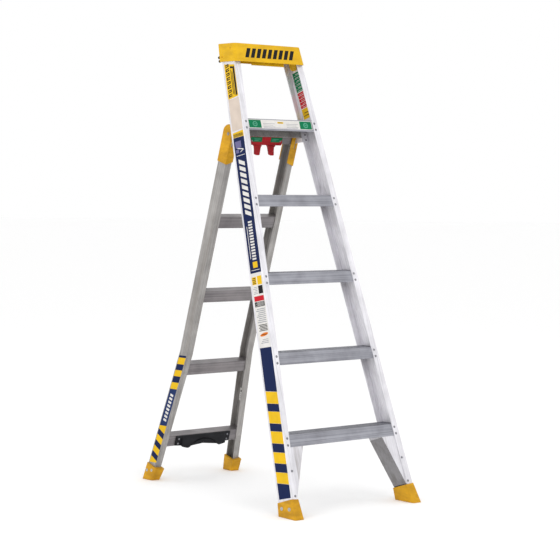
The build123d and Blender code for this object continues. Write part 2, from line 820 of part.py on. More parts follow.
with BuildPart() as lock_rod_left:
    with BuildSketch(rear_section.offset(lever_x - 6)):
        with Locations((0, -rod_down)):
            Circle(rod_radius)
    extrude(amount=ear_inner - 0.4 - lever_x + 6)
    chamfer(lock_rod_left.faces().sort_by(Axis.X)[0].edges(), length=0.8)
    with BuildSketch(rear_elevation):
        with Locations((-lever_x, -rod_down)):
            Circle(2)
    extrude(amount=20.5)
pieces["lock_rod_left"] = lock_rod_left
pieces["lock_rod_right"] = mirrored(lock_rod_left)

# squeeze levers
lever_back = 15.5
lever_thick = 5.0
with BuildPart() as lever_left:
    with BuildSketch(rear_elevation.offset(lever_back)):
        with Locations((-lever_x, -lever_down)):
            Circle(6.2)
        with BuildLine():
            Polyline(
                (-lever_x - 6, -lever_down),
                (-lever_x - 8, -20),
                (-lever_x - 13, -33),
                (-lever_x - 12, -60),
                (-lever_x + 7, -60),
                (-lever_x + 12, -33),
                (-lever_x + 8, -20),
                (-lever_x + 6, -lever_down),
                close=True,
            )
        make_face()
    extrude(amount=lever_thick)
    # finger grip, thicker than the arm
    with BuildSketch(rear_elevation.offset(lever_back - 1)) as grip:
        with BuildLine():
            Polyline(
                (-lever_x - 23, -37),
                (-lever_x - 15, -43),
                (-lever_x - 13, -54),
                (-lever_x - 13, -75),
                (-lever_x + 8, -75),
                (-lever_x + 12, -58),
                (-lever_x + 15, -45),
                (-lever_x + 21, -37),
                close=True,
            )
        make_face()
        fillet(grip.vertices().sort_by(Axis.Y)[:2], radius=4)
    extrude(amount=22)
    # the grips lean forward towards their tips
    with BuildSketch(rear_section.offset(-100)):
        with BuildLine():
            Polyline(
                (lever_back, 0),
                (lever_back - 1, -30),
                (lever_back - 1, -38),
                (lever_back + 12, -80),
                (lever_back + 24, -80),
                (lever_back + 8.5, -36),
                (lever_back + lever_thick, -33),
                (lever_back + lever_thick, 0),
                close=True,
            )
        make_face()
    extrude(amount=200, mode=Mode.INTERSECT)
    with BuildSketch(rear_elevation.offset(lever_back - 1)):
        with Locations((-lever_x, -lever_down)):
            Circle(3.05)
        with Locations((-lever_x, -rod_down - 0.25)):
            SlotOverall(5.6, 5, rotation=90)
    extrude(amount=lever_thick + 2, mode=Mode.SUBTRACT)
pieces["lever_left"] = lever_left
pieces["lever_right"] = mirrored(lever_left)

# moulded housing over the levers
housing_half = 84.0
housing_top = -0.4
housing_height = 35.0
housing_front = 29.0
with BuildPart() as lock_housing:
    with BuildSketch(rear_elevation.offset(tube_front + 0.1)):
        with Locations((0, -housing_top - housing_height / 2)):
            RectangleRounded(2 * housing_half, housing_height, 4)
    extrude(amount=housing_front - tube_front - 0.1)
    fillet(lock_housing.faces().sort_by(Axis.Y)[0].edges(), radius=1.5)
    with BuildSketch(rear_elevation.offset(tube_front)):
        with Locations((0, -housing_top - housing_height / 2)):
            Rectangle(2 * housing_half - 40, housing_height - 5)
    extrude(amount=housing_front - tube_front - 2.5, mode=Mode.SUBTRACT)
    with BuildSketch(rear_elevation.offset(tube_front)):
        with Locations((0, -housing_top - housing_height)):
            Rectangle(120, 20)
    extrude(amount=housing_front - tube_front - 2.5, mode=Mode.SUBTRACT)
    with BuildSketch(rear_elevation.offset(housing_front - 0.5)):
        with Locations((0, -housing_top - 11)):
            RectangleRounded(40, 19, 3)
    extrude(amount=2.0)
    with BuildSketch(rear_elevation.offset(housing_front + 1)):
        for side in (-1, 1):
            with Locations((side * housing_screw_x, -housing_screw_down)):
                Circle(rivet_hole)
    extrude(amount=-20, mode=Mode.SUBTRACT)
pieces["lock_housing"] = lock_housing
planes = [
    rear_front_plane(side * housing_screw_x, housing_screw_down, housing_front) for side in (-1, 1)
]
pieces["housing_screws"] = rivet_group(planes, housing_front - tube_front + bar_wall, head=4)

# ------------------------------------------------------- hinge covers and pins
cover_inner_x = 142.0
cover_outer_x = rear_half_width + cover_wall


with BuildPart() as hinge_cover_left:
    with BuildSketch(rear_section.offset(cover_inner_x)):
        Circle(cover_radius)
        Rectangle(120, cover_length, align=(Align.CENTER, Align.MAX))
        with Locations(((front_b + back_b) / 2, 0)):
            Rectangle(rear_depth + 2 * cover_wall, 400, mode=Mode.INTERSECT)
    extrude(amount=cover_outer_x - cover_inner_x)
    outer_rim = hinge_cover_left.faces().sort_by(Axis.X)[0].edges()
    fillet(outer_rim, radius=2)
    with BuildSketch(rear_section.offset(cover_inner_x - 1)):
        Circle(cover_radius - cover_wall)
        Rectangle(120, cover_length + 5, align=(Align.CENTER, Align.MAX))
        with Locations(((front_b + back_b) / 2, 0)):
            Rectangle(rear_depth + 0.2, 400, mode=Mode.INTERSECT)
    extrude(amount=rear_half_width + 0.1 - cover_inner_x + 1, mode=Mode.SUBTRACT)
    # front and rear walls end on a slant
    with BuildSketch(rear_elevation.offset(60)):
        with BuildLine():
            Polyline(
                (-cover_outer_x + 6, -cover_length),
                (-cover_inner_x + 1, -cover_length + 11),
                (-cover_inner_x + 1, -cover_length - 5),
                (-cover_outer_x + 6, -cover_length - 5),
                close=True,
            )
        make_face()
    extrude(amount=-120, mode=Mode.SUBTRACT)
    add(swing_slot.part, mode=Mode.SUBTRACT)
    with BuildSketch(rear_section.offset(160)):
        Circle(pin_radius + pin_clearance)
    extrude(amount=20, mode=Mode.SUBTRACT)
pieces["hinge_cover_left"] = hinge_cover_left
pieces["hinge_cover_right"] = mirrored(hinge_cover_left)

with BuildPart() as hinge_pin:
    with BuildSketch(rear_section.offset(ear_inner - 1.3)):
        Circle(pin_radius)
    extrude(amount=cover_outer_x + 0.1 - ear_inner + 1.3)
    with BuildSketch(rear_section.offset(ear_inner - 1.3)):
        Circle(7.5)
    extrude(amount=1)
    with BuildSketch(rear_section.offset(cover_outer_x + 0.05)):
        Circle(7)
    extrude(amount=2.2, taper=30)
pieces["hinge_pins"] = both_sides(hinge_pin)

with BuildPart() as hinge_washer:
    with BuildSketch(rear_section.offset(plate_outer + 0.35)):
        Circle(11)
        Circle(pin_radius + pin_clearance, mode=Mode.SUBTRACT)
    extrude(amount=rear_half_width - rear_wall - 0.05 - plate_outer - 0.35)
pieces["hinge_washers"] = both_sides(hinge_washer)


# -------------------------------------------------------------- the rear boots
def rear_cross_plane(down):
    """Plane square to the flared left leg, x inboard and y to the rear."""
    return Plane(
        origin=rear_point(-rear_outer(down), down, front_b),
        x_dir=(1, flare * sb, -flare * cb),
        z_dir=(flare, -sb, cb),
    )


with BuildPart() as rear_foot_left:
    with BuildSketch(rear_cross_plane(floor_down + 30)):
        boot_outline(4, 6, 7, 6, rear_flange, rear_depth, 7)
    with BuildSketch(rear_cross_plane(floor_down - 58)):
        boot_outline(16, 3.5, 7, 10, rear_flange, rear_depth, 5)
    loft()
    with BuildSketch(rear_cross_plane(leg_down)):
        with Locations((-0.1, -0.1)):
            Rectangle(rear_flange + 0.2, rear_depth + 0.2, align=(Align.MIN, Align.MIN))
    extrude(amount=70, mode=Mode.SUBTRACT)
    with Locations((-230, pivot[1] + 450, 0)):
        Box(200, 400, 200, align=(Align.CENTER, Align.CENTER, Align.MAX), mode=Mode.SUBTRACT)
    with BuildSketch(Plane.XY):
        with Locations((-215, rear_point(0, floor_down, 0)[1] + 5)):
            with GridLocations(1, 13, 1, 4):
                Rectangle(60, 4)
    extrude(amount=2.5, mode=Mode.SUBTRACT)
    with BuildSketch(*[rear_side_plane(a, behind, 12) for a, behind in rear_foot_spots]):
        Circle(rivet_hole)
    extrude(amount=-15, mode=Mode.SUBTRACT)
pieces["rear_foot_left"] = rear_foot_left
pieces["rear_foot_right"] = mirrored(rear_foot_left)
planes = [rear_side_plane(a, behind, 7.3) for a, behind in rear_foot_spots]
pieces["rear_foot_rivets"] = both_sides(rivet_group(planes, 7.3 + rear_wall, head=6.5))

# --------------------------------------------------------------- the pole rest
pad_half = 142.0
pad_top = floor_down - 193.0
with BuildPart() as pole_rest:
    with BuildSketch(rear_elevation.offset(tube_front + 0.1)):
        with BuildLine():
            Polyline(
                (-pad_half, -pad_top),
                (pad_half, -pad_top),
                (pad_half, -pad_top - 42),
                (112, -pad_top - 44),
                (86, -pad_top - 51),
                (52, -pad_top - 47),
                (0, -pad_top - 41),
                (-52, -pad_top - 47),
                (-86, -pad_top - 51),
                (-112, -pad_top - 44),
                (-pad_half, -pad_top - 42),
                close=True,
            )
        make_face()
    extrude(amount=31)
    # steps down to thin tabs at the ends, leans outwards to the lobes
    with BuildSketch(rear_section.offset(-150)):
        with BuildLine():
            Polyline(
                (tube_front + 6, -pad_top + 1),
                (tube_front + 8, -pad_top - 6),
                (tube_front + 18, -pad_top - 36),
                (tube_front + 21, -pad_top - 45),
                (tube_front + 18, -pad_top - 60),
                (60, -pad_top - 60),
                (60, -pad_top + 1),
                close=True,
            )
        make_face()
    extrude(amount=300, mode=Mode.SUBTRACT)
    for side in (-1, 1):
        with BuildSketch(rear_elevation.offset(tube_front + 6)):
            with Locations((side * 130, -pad_top - 30)):
                Rectangle(34, 80)
        extrude(amount=40, mode=Mode.SUBTRACT)
    # recess for a pole under an arched rim, with ribs behind it
    with BuildSketch(rear_elevation.offset(tube_front + 9)):
        with BuildLine():
            ThreePointArc((-84, -pad_top - 60), (0, -pad_top - 14), (84, -pad_top - 60))
            Line((84, -pad_top - 60), (-84, -pad_top - 60))
        make_face()
    extrude(amount=40, mode=Mode.SUBTRACT)
    with BuildSketch(rear_elevation.offset(tube_front + 9)):
        with BuildLine():
            ThreePointArc((-68, -pad_top - 45), (0, -pad_top - 20), (68, -pad_top - 45))
            Line((68, -pad_top - 45), (61, -pad_top - 45))
            ThreePointArc((61, -pad_top - 45), (0, -pad_top - 24), (-61, -pad_top - 45))
            Line((-61, -pad_top - 45), (-68, -pad_top - 45))
        make_face()
    extrude(amount=6)
    with BuildSketch(rear_elevation.offset(tube_front)):
        with Locations((0, -pad_top - 30)):
            with GridLocations(26, 18, 8, 2):
                Rectangle(22, 14)
    extrude(amount=6, mode=Mode.SUBTRACT)
    with BuildSketch(*[rear_front_plane(x, a, 50) for x, a in pad_screw_spots]):
        Circle(rivet_hole)
    extrude(amount=-45, mode=Mode.SUBTRACT)
pieces["pole_rest"] = pole_rest
planes = [rear_front_plane(x, a, tube_front + 6) for x, a in pad_screw_spots]
pieces["pole_rest_screws"] = rivet_group(planes, 6 + rung_wall, head=4.5)

# ---------------------------------------------------------------- write it out
boxes = [builder.part.bounding_box() for builder in pieces.values()]
front_edge = min(box.min.Y for box in boxes)
back_edge = max(box.max.Y for box in boxes)
middle = (front_edge + back_edge) / 2
for name, builder in pieces.items():
    placed = builder.part.moved(Location((0, -middle, 0)))
    placed.label = name
    export_step(placed, f"parts/{name}.step")
    print(name, len(placed.solids()), round(placed.volume))
print("moved back by", middle, "pivot", pivot[1] - middle, pivot[2], "depth", back_edge - front_edge)
print("top", max(box.max.Z for box in boxes), "bottom", min(box.min.Z for box in boxes))
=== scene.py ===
import json
from math import cos, pi, radians, sin

import bmesh
import bpy
from mathutils import Matrix, Vector


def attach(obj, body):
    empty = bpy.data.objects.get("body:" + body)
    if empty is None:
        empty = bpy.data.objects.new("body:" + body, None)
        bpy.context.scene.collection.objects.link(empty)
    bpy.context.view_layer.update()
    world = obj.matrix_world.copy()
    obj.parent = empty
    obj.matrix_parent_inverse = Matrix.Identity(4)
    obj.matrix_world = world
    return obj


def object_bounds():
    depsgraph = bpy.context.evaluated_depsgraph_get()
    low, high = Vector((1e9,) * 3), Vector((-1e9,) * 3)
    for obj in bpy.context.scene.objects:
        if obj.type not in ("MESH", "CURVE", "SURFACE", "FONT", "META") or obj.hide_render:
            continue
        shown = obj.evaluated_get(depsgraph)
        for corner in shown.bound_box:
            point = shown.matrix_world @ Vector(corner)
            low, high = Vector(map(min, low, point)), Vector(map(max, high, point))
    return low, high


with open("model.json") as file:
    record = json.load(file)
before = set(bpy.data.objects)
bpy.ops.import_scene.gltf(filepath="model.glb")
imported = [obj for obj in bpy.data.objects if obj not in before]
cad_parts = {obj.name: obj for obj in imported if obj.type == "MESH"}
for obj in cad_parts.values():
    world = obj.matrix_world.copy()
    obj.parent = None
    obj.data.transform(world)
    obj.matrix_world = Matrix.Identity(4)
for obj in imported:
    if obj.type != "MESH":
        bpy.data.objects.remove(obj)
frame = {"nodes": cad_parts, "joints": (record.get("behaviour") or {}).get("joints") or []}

cad_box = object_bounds()
nodes = frame["nodes"]

# ------------------------------------------------------------------ the frame's own axes
# Lengths are metres and repeat the driving dimensions of the CAD.
FRONT_LEAN = radians(18.0)
REAR_LEAN = radians(17.5)
ca, sa = cos(FRONT_LEAN), sin(FRONT_LEAN)
cb, sb = cos(REAR_LEAN), sin(REAR_LEAN)
HALF_WIDTH_FLOOR = 0.319     # outside of the front stiles at floor level
TAPER = 0.0789               # the front stiles close in by this much per metre
WEB_WALL = 0.0025            # of a front stile
REAR_HALF_WIDTH = 0.1735     # outside of the rear legs above the knee
FLARE = 0.0951               # outwards per metre below the knee
KNEE = 0.944                 # from the pivot down to the knee
PIVOT_ALONG = 1.555          # up the front stiles
PIVOT_DEPTH = 0.1215         # behind their front faces
CAP_FRONT = -0.016           # depth of the cap's front wall
TREAD_FRONT = 0.003          # depth of the treads' front skirts
HOUSING_FRONT = 0.029        # lock housing, forward of the pivot
PIVOT = Vector([j for j in frame["joints"] if j["name"] == "rear_swing"][0]["pos_m"])
FLOOR_LINE = PIVOT.y - (PIVOT_ALONG * sa + PIVOT_DEPTH * ca)


def front(x, s, d):
    """x, length along the front stiles, depth behind their front faces."""
    return Vector((x, FLOOR_LINE + s * sa + d * ca, s * ca - d * sa))


def rear(x, a, b):
    """x, length down the rear legs from the pivot, distance forward of the pivot."""
    return PIVOT + Vector((x, a * sb - b * cb, -a * cb - b * sb))


def stile_web(side, s, d, lift):
    """Outside of a front stile's web."""
    out = Vector((side, TAPER * sa, TAPER * ca)).normalized()
    return front(side * (HALF_WIDTH_FLOOR - TAPER * s), s, d) + out * lift


def leg_web(side, a, b, lift):
    """Outside of a rear leg's web, straight and then flared."""
    x = REAR_HALF_WIDTH + FLARE * max(0.0, a - KNEE)
    out = Vector((side, 0, 0))
    if a > KNEE:
        out = Vector((side, -FLARE * sb, FLARE * cb)).normalized()
    return rear(side * x, a, b) + out * lift


# The surfaces that carry labels: two coordinates on the surface and a lift off it.
def left_web(s, d, lift):
    return stile_web(-1, s, d, lift)


def right_web_inside(s, d, lift):
    return stile_web(1, s, d, -WEB_WALL - lift)


def cap_face(x, s, lift):
    return front(x, s, CAP_FRONT) + Vector((0, -ca, sa)) * lift


def tread_face(x, s, lift):
    return front(x, s, TREAD_FRONT) + Vector((0, -ca, sa)) * lift


def left_leg(a, b, lift):
    return leg_web(-1, a, b, lift)


def right_leg_inside(a, b, lift):
    return leg_web(1, a, b, -0.0031 - lift)


def housing_face(x, a, lift):
    return rear(x, a, HOUSING_FRONT) + Vector((0, -cb, -sb)) * lift


# ------------------------------------------------------------------ material helpers
def new_material(name, color, roughness, metallic=0.0):
    """A Principled material with its node tree and its shader."""
    mat = bpy.data.materials.new(name)
    mat.use_nodes = True
    shader = mat.node_tree.nodes["Principled BSDF"]
    shader.inputs["Base Color"].default_value = (*color, 1)
    shader.inputs["Roughness"].default_value = roughness
    shader.inputs["Metallic"].default_value = metallic
    return mat, mat.node_tree, shader


def link(tree, a, b):
    tree.links.new(a, b)


def coords(tree, lean=0.0, scale=(1, 1, 1)):
    """Object coordinates turned so that Z runs along a leaning extrusion, then scaled."""
    tex = tree.nodes.new("ShaderNodeTexCoord")
    turn = tree.nodes.new("ShaderNodeMapping")
    turn.inputs["Rotation"].default_value = (lean, 0, 0)
    stretch = tree.nodes.new("ShaderNodeMapping")
    stretch.inputs["Scale"].default_value = scale
    link(tree, tex.outputs["Object"], turn.inputs["Vector"])
    link(tree, turn.outputs["Vector"], stretch.inputs["Vector"])
    return stretch.outputs["Vector"]


def noise(tree, vector, scale, detail=4.0, rough=0.55):
    node = tree.nodes.new("ShaderNodeTexNoise")
    node.inputs["Scale"].default_value = scale
    node.inputs["Detail"].default_value = detail
    node.inputs["Roughness"].default_value = rough
    link(tree, vector, node.inputs["Vector"])
    return node.outputs["Fac"]


def ramp(tree, fac, low, high, a, b):
    """fac between low and high becomes a value between a and b."""
    node = tree.nodes.new("ShaderNodeMapRange")
    node.inputs["From Min"].default_value = low
    node.inputs["From Max"].default_value = high
    node.inputs["To Min"].default_value = a
    node.inputs["To Max"].default_value = b
    link(tree, fac, node.inputs["Value"])
    return node.outputs["Result"]


def tint(tree, fac, color_a, color_b):
    """A mix of two plain colours."""
    node = tree.nodes.new("ShaderNodeMix")
    node.data_type = "RGBA"
    node.inputs["A"].default_value = (*color_a, 1)
    node.inputs["B"].default_value = (*color_b, 1)
    link(tree, fac, node.inputs["Factor"])
    return node.outputs["Result"]


def overlay(tree, fac, color_socket, color_b):
    """A plain colour laid over a colour that is already in the tree."""
    node = tree.nodes.new("ShaderNodeMix")
    node.data_type = "RGBA"
    node.inputs["B"].default_value = (*color_b, 1)
    link(tree, fac, node.inputs["Factor"])
    link(tree, color_socket, node.inputs["A"])
    return node.outputs["Result"]


def bump(tree, shader, height, strength, distance):
    node = tree.nodes.new("ShaderNodeBump")
    node.inputs["Strength"].default_value = strength
    node.inputs["Distance"].default_value = distance
    link(tree, height, node.inputs["Height"])
    link(tree, node.outputs["Normal"], shader.inputs["Normal"])


def weighted_sum(tree, a, weight, b):
    """a * weight + b"""
    node = tree.nodes.new("ShaderNodeMath")
    node.operation = "MULTIPLY_ADD"
    node.inputs[1].default_value = weight
    link(tree, a, node.inputs[0])
    link(tree, b, node.inputs[2])
    return node.outputs["Value"]


def shade(color, factor, lift=0.0):
    """A darker or paler version of a colour."""
    return tuple(min(1.0, c * factor + lift) for c in color)


def extrusion(name, color, dark, lean, roughness, metallic, across=1.0, axis="z"):
    """Mill-finish aluminium drawn along one axis: long faint die lines and dull scuffs."""
    mat, tree, shader = new_material(name, color, roughness, metallic)
    long_scale = (260, 260, 1.6) if axis == "z" else (1.6, 260, 260)
    streak = noise(tree, coords(tree, lean, long_scale), across, 5, 0.6)
    cloud = noise(tree, coords(tree, lean), 14, 3)
    scuff = noise(tree, coords(tree, lean, (60, 60, 18)), 3.0, 6, 0.7)
    mixed = weighted_sum(tree, cloud, 0.55, streak)
    base = tint(tree, ramp(tree, mixed, 0.58, 0.96, 0, 1), dark, color)
    base = overlay(tree, ramp(tree, scuff, 0.66, 0.78, 0, 0.55), base, shade(dark, 0.8))
    worn = ramp(tree, mixed, 0.4, 1.1, roughness + 0.1, roughness - 0.07)
    link(tree, base, shader.inputs["Base Color"])
    link(tree, worn, shader.inputs["Roughness"])
    bump(tree, shader, streak, 0.10, 0.0002)
    return mat


def moulding(name, color, dark, roughness, specular=0.5, coat=0.0):
    """Injection-moulded plastic: fine spark texture, faint flow marks, rubs and pale scrapes."""
    mat, tree, shader = new_material(name, color, roughness)
    flow = noise(tree, coords(tree, 0, (1, 1, 2.4)), 16, 3)
    speck = noise(tree, coords(tree), 900, 2)
    rub = noise(tree, coords(tree), 120, 5, 0.7)
    scrape = noise(tree, coords(tree, 0.4, (30, 90, 300)), 1.0, 4, 0.6)
    base = tint(tree, ramp(tree, flow, 0.35, 0.68, 0, 1), dark, color)
    base = overlay(tree, ramp(tree, rub, 0.64, 0.76, 0, 0.30), base, shade(color, 0.62))
    base = overlay(tree, ramp(tree, scrape, 0.70, 0.78, 0, 0.25), base, shade(color, 1.2, 0.06))
    worn = ramp(tree, rub, 0.3, 0.7, roughness - 0.06, roughness + 0.12)
    link(tree, base, shader.inputs["Base Color"])
    link(tree, worn, shader.inputs["Roughness"])
    shader.inputs["Specular IOR Level"].default_value = specular
    shader.inputs["Coat Weight"].default_value = coat
    shader.inputs["Coat Roughness"].default_value = 0.25
    bump(tree, shader, speck, 0.12, 0.0003)
    return mat


def vinyl(name, color, roughness=0.5):
    """Printed film stuck on the metal: nearly even colour, faint scuffs and ripple."""
    mat, tree, shader = new_material(name, color, roughness)
    scratch = noise(tree, coords(tree, FRONT_LEAN, (240, 240, 14)), 1.0, 6, 0.72)
    cloud = noise(tree, coords(tree), 22, 3)
    base = tint(tree, ramp(tree, cloud, 0.3, 0.7, 0, 1), shade(color, 0.86), color)
    base = overlay(tree, ramp(tree, scratch, 0.66, 0.76, 0, 0.30), base, shade(color, 0.8, 0.10))
    worn = ramp(tree, cloud, 0.3, 0.7, roughness - 0.05, roughness + 0.08)
    link(tree, base, shader.inputs["Base Color"])
    link(tree, worn, shader.inputs["Roughness"])
    shader.inputs["Specular IOR Level"].default_value = 0.10
    bump(tree, shader, cloud, 0.05, 0.0006)
    return mat


def cover_base(mat, mask_of, color):
    """Lay a colour over a finished material's base, where the mask says."""
    tree = mat.node_tree
    base_color = tree.nodes["Principled BSDF"].inputs["Base Color"]
    source = base_color.links[0].from_socket
    link(tree, overlay(tree, mask_of(tree), source, color), base_color)


def grime(mat, color, lean, most):
    """Long brown water stains running down the metal."""
    def mask(tree):
        runs = noise(tree, coords(tree, lean, (34, 34, 2.2)), 1.0, 5, 0.62)
        return ramp(tree, runs, 0.50, 0.66, 0, most)

    cover_base(mat, mask, color)


def painted_underside_shade(mat, color):
    """Painted shade: faces that look down are darkened, standing in for the shade they sit in."""
    def mask(tree):
        # the mask darkens faces whose normal points downwards: painted shade
        geometry = tree.nodes.new("ShaderNodeNewGeometry")
        split = tree.nodes.new("ShaderNodeSeparateXYZ")
        link(tree, geometry.outputs["Normal"], split.inputs["Vector"])
        return ramp(tree, split.outputs["Z"], -0.22, -0.40, 0, 0.9)

    cover_base(mat, mask, color)


# ------------------------------------------------------------------ finishes
# colour, darker colour, lean of the die lines, roughness, metallic, noise scale, drawn axis
METALS = {
    "front_aluminium": ((0.82, 0.81, 0.85), (0.58, 0.57, 0.60), FRONT_LEAN, 0.42, 0.4),
    "rear_aluminium": ((0.42, 0.402, 0.388), (0.215, 0.205, 0.197), -REAR_LEAN, 0.38, 0.35),
    # rungs and lock bar: the rear aluminium darkened as painted shade, for faces turned away from the light
    "shaded_rung_aluminium": ((0.25, 0.23, 0.235), (0.13, 0.12, 0.125), 0, 0.38, 0.4, 1.0, "x"),
    "tread_aluminium": ((0.34, 0.345, 0.385), (0.18, 0.18, 0.205), 0, 0.38, 0.45, 1.0, "x"),
    "brace_aluminium": ((0.74, 0.73, 0.77), (0.56, 0.55, 0.58), FRONT_LEAN, 0.42, 0.5),
    "rivet_aluminium": ((0.30, 0.30, 0.32), (0.16, 0.16, 0.18), 0, 0.34, 0.8, 3.0),
    "boot_rivets": ((0.60, 0.58, 0.56), (0.36, 0.35, 0.34), 0, 0.32, 0.8, 3.0),
    "zinc_steel": ((0.36, 0.36, 0.36), (0.20, 0.20, 0.20), 0, 0.36, 0.85, 2.0),
}
# colour, darker colour, roughness, specular level, coat
PLASTICS = {
    "yellow_plastic": ((0.74, 0.44, 0.008), (0.60, 0.345, 0.007), 0.46, 0.16, 0.05),
    "yellow_boots": ((0.66, 0.345, 0.012), (0.44, 0.22, 0.010), 0.48, 0.16),
    "red_plastic": ((0.43, 0.006, 0.012), (0.30, 0.004, 0.008), 0.42, 0.16, 0.05),
    "black_plastic": ((0.016, 0.017, 0.020), (0.008, 0.008, 0.010), 0.55, 0.16),
    "bumper_rubber": ((0.014, 0.014, 0.014), (0.008, 0.008, 0.008), 0.78),
    "nylon": ((0.60, 0.58, 0.52), (0.50, 0.48, 0.43), 0.45),
}
SOFT_EDGED = ("yellow_plastic", "yellow_boots", "red_plastic", "black_plastic")

mats = {name: extrusion(name, *values) for name, values in METALS.items()}
mats.update({name: moulding(name, *values) for name, values in PLASTICS.items()})
grime(mats["brace_aluminium"], (0.20, 0.165, 0.14), FRONT_LEAN, 0.45)
grime(mats["rear_aluminium"], (0.16, 0.137, 0.118), -REAR_LEAN, 0.45)
# painted shade on the down-facing faces of the knee-brace webs and the treads
painted_underside_shade(mats["brace_aluminium"], (0.045, 0.040, 0.036))
painted_underside_shade(mats["tread_aluminium"], (0.20, 0.18, 0.185))


def choose(name):
    """The finish of each CAD node."""
    if name in ("front_foot_rivets", "rear_foot_rivets"):
        return "boot_rivets"
    if name in ("rung_rivets", "back_rail"):
        return "rear_aluminium"
    if name == "cap_screws":
        return "yellow_boots"
    if "rivets" in name or "screws" in name:
        return "rivet_aluminium"
    if name.startswith("step_"):
        return "tread_aluminium"
    if name.startswith("front_stile") or name.startswith("hinge_plate"):
        return "front_aluminium"
    if name.startswith("knee_brace"):
        return "brace_aluminium"
    # the darker metal here carries painted shade
    if name.startswith("rung_") or name == "lock_bar":
        return "shaded_rung_aluminium"
    if name.startswith("rear_stile"):
        return "rear_aluminium"
    if name == "top_cap":
        return "yellow_plastic"
    if "foot" in name or "hinge_cover" in name:
        return "yellow_boots"
    if name == "cap_bumpers":
        return "bumper_rubber"
    if name in ("lock_housing", "lever_left", "lever_right"):
        return "red_plastic"
    if name == "pole_rest":
        return "black_plastic"
    if name in ("rod_guides", "hinge_washers"):
        return "nylon"
    return "zinc_steel"


for name, obj in nodes.items():
    finish = choose(name)
    obj.data.materials.clear()
    obj.data.materials.append(mats[finish])
    bevel = obj.modifiers.new("edges", "BEVEL")
    bevel.width = 0.0009 if finish in SOFT_EDGED else 0.0004
    bevel.segments = 2
    bevel.limit_method = "ANGLE"
    bevel.angle_limit = radians(40)
    bevel.harden_normals = False

# ------------------------------------------------------------------ printed film labels
NAVY = ("navy", (0.005, 0.014, 0.070))
YELLOW = ("yellow", (0.78, 0.48, 0.012))
WHITE = ("white", (0.72, 0.70, 0.67))
CREAM = ("cream", (0.66, 0.56, 0.48))
GREEN = ("green", (0.004, 0.17, 0.07))
RED = ("red", (0.55, 0.012, 0.025))
BLACK = ("black", (0.012, 0.012, 0.014))
GREY = ("grey", (0.30, 0.31, 0.34))
LILAC = ("lilac", (0.15, 0.14, 0.28))
TEAL = ("teal", (0.10, 0.36, 0.24))
STEEL_BLUE = ("steel_blue", (0.012, 0.032, 0.12))
ORANGE = ("orange", (0.70, 0.18, 0.02))

FILM = 0.00014               # thickness of one printed layer
LAYER = 0.00012              # step from one layer to the next, so that they overlap
FIRST_GAP = 0.00004          # keeps the lowest layer off the metal
film = {}


def film_mat(key, color):
    if key not in film:
        film[key] = vinyl("film_" + key, color)
    return film[key]


def ellipse(u, v, half_u, half_v, count=16):
    """Corners of an ellipse."""
    turns = [i * 2 * pi / count for i in range(count)]
    return [(u + half_u * cos(turn), v + half_v * sin(turn)) for turn in turns]


class Label:
    """A stack of thin printed shapes on one surface, made into one piece."""

    def __init__(self, name, body, place, slot_name):
        self.name, self.body, self.place, self.slot = name, body, place, slot_name
        self.bm = bmesh.new()
        self.mats = []

    def shape(self, color, points, level=0):
        """One flat shape from its corners (u, v), with a thickness."""
        mat = film_mat(*color)
        if mat not in self.mats:
            self.mats.append(mat)
        index = self.mats.index(mat)
        low = FIRST_GAP + LAYER * level
        high = low + FILM
        bottom = [self.bm.verts.new(self.place(u, v, low)) for u, v in points]
        top = [self.bm.verts.new(self.place(u, v, high)) for u, v in points]
        faces = [self.bm.faces.new(top), self.bm.faces.new(list(reversed(bottom)))]
        count = len(points)
        for i in range(count):
            j = (i + 1) % count
            faces.append(self.bm.faces.new((bottom[i], bottom[j], top[j], top[i])))
        for face in faces:
            face.material_index = index

    def rect(self, color, u0, u1, v0, v1, level=0):
        self.shape(color, [(u0, v0), (u1, v0), (u1, v1), (u0, v1)], level)

    def done(self):
        bmesh.ops.recalc_face_normals(self.bm, faces=self.bm.faces)
        mesh = bpy.data.meshes.new(self.name)
        self.bm.to_mesh(mesh)
        self.bm.free()
        obj = bpy.data.objects.new(self.name, mesh)
        bpy.context.scene.collection.objects.link(obj)
        for mat in self.mats:
            mesh.materials.append(mat)
        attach(obj, self.body)


# big label down the outside of the left front stile
side = Label("stile_label_left", "front_section", left_web, "yellow_plastic")
D0, D1 = 0.003, 0.0695       # its front and rear edges
MIDDLE = 0.036               # depth at which a sloping band has its nominal height


def band(color, low, high, d0=D0, d1=D1, level=0, slope=0.12):
    """Band across the stile whose edges climb towards the rear, nearly level."""
    rise0, rise1 = slope * (d0 - MIDDLE), slope * (d1 - MIDDLE)
    side.shape(color, [(low + rise0, d0), (high + rise0, d0), (high + rise1, d1), (low + rise1, d1)], level)


def rules(color, first, pitch, thick, d0, d1, shorter, count, level=1, cycle=2):
    """Thin rules stacked up the stile, with ragged rear ends."""
    for i in range(count):
        low = first + i * pitch
        band(color, low, low + thick, d0, d1 - shorter * (i % cycle), level)


band(CREAM, 1.5405, 1.672)
side.shape(NAVY, [(0.956, D0), (1.5065, D0), (1.5165, D1), (0.964, D1)])
side.shape(YELLOW, [(1.507, D0), (1.532, D0), (1.5372, D1), (1.517, D1)])
for i in range(9):
    low = 0.009 + i * 0.0066
    band(BLACK, 1.514, 1.527, low, low + 0.0038, 1)
band(LILAC, 1.468, 1.496, 0.026, 0.062, 1)
band(LILAC, 1.448, 1.462, 0.044, 0.062, 1)
band(WHITE, 1.462, 1.466, 0.018, 0.052, 1, slope=0.35)
band(WHITE, 1.448, 1.451, 0.014, 0.036, 1, slope=-0.3)
band(WHITE, 1.4360, 1.4378, 0.010, 0.062, 1)
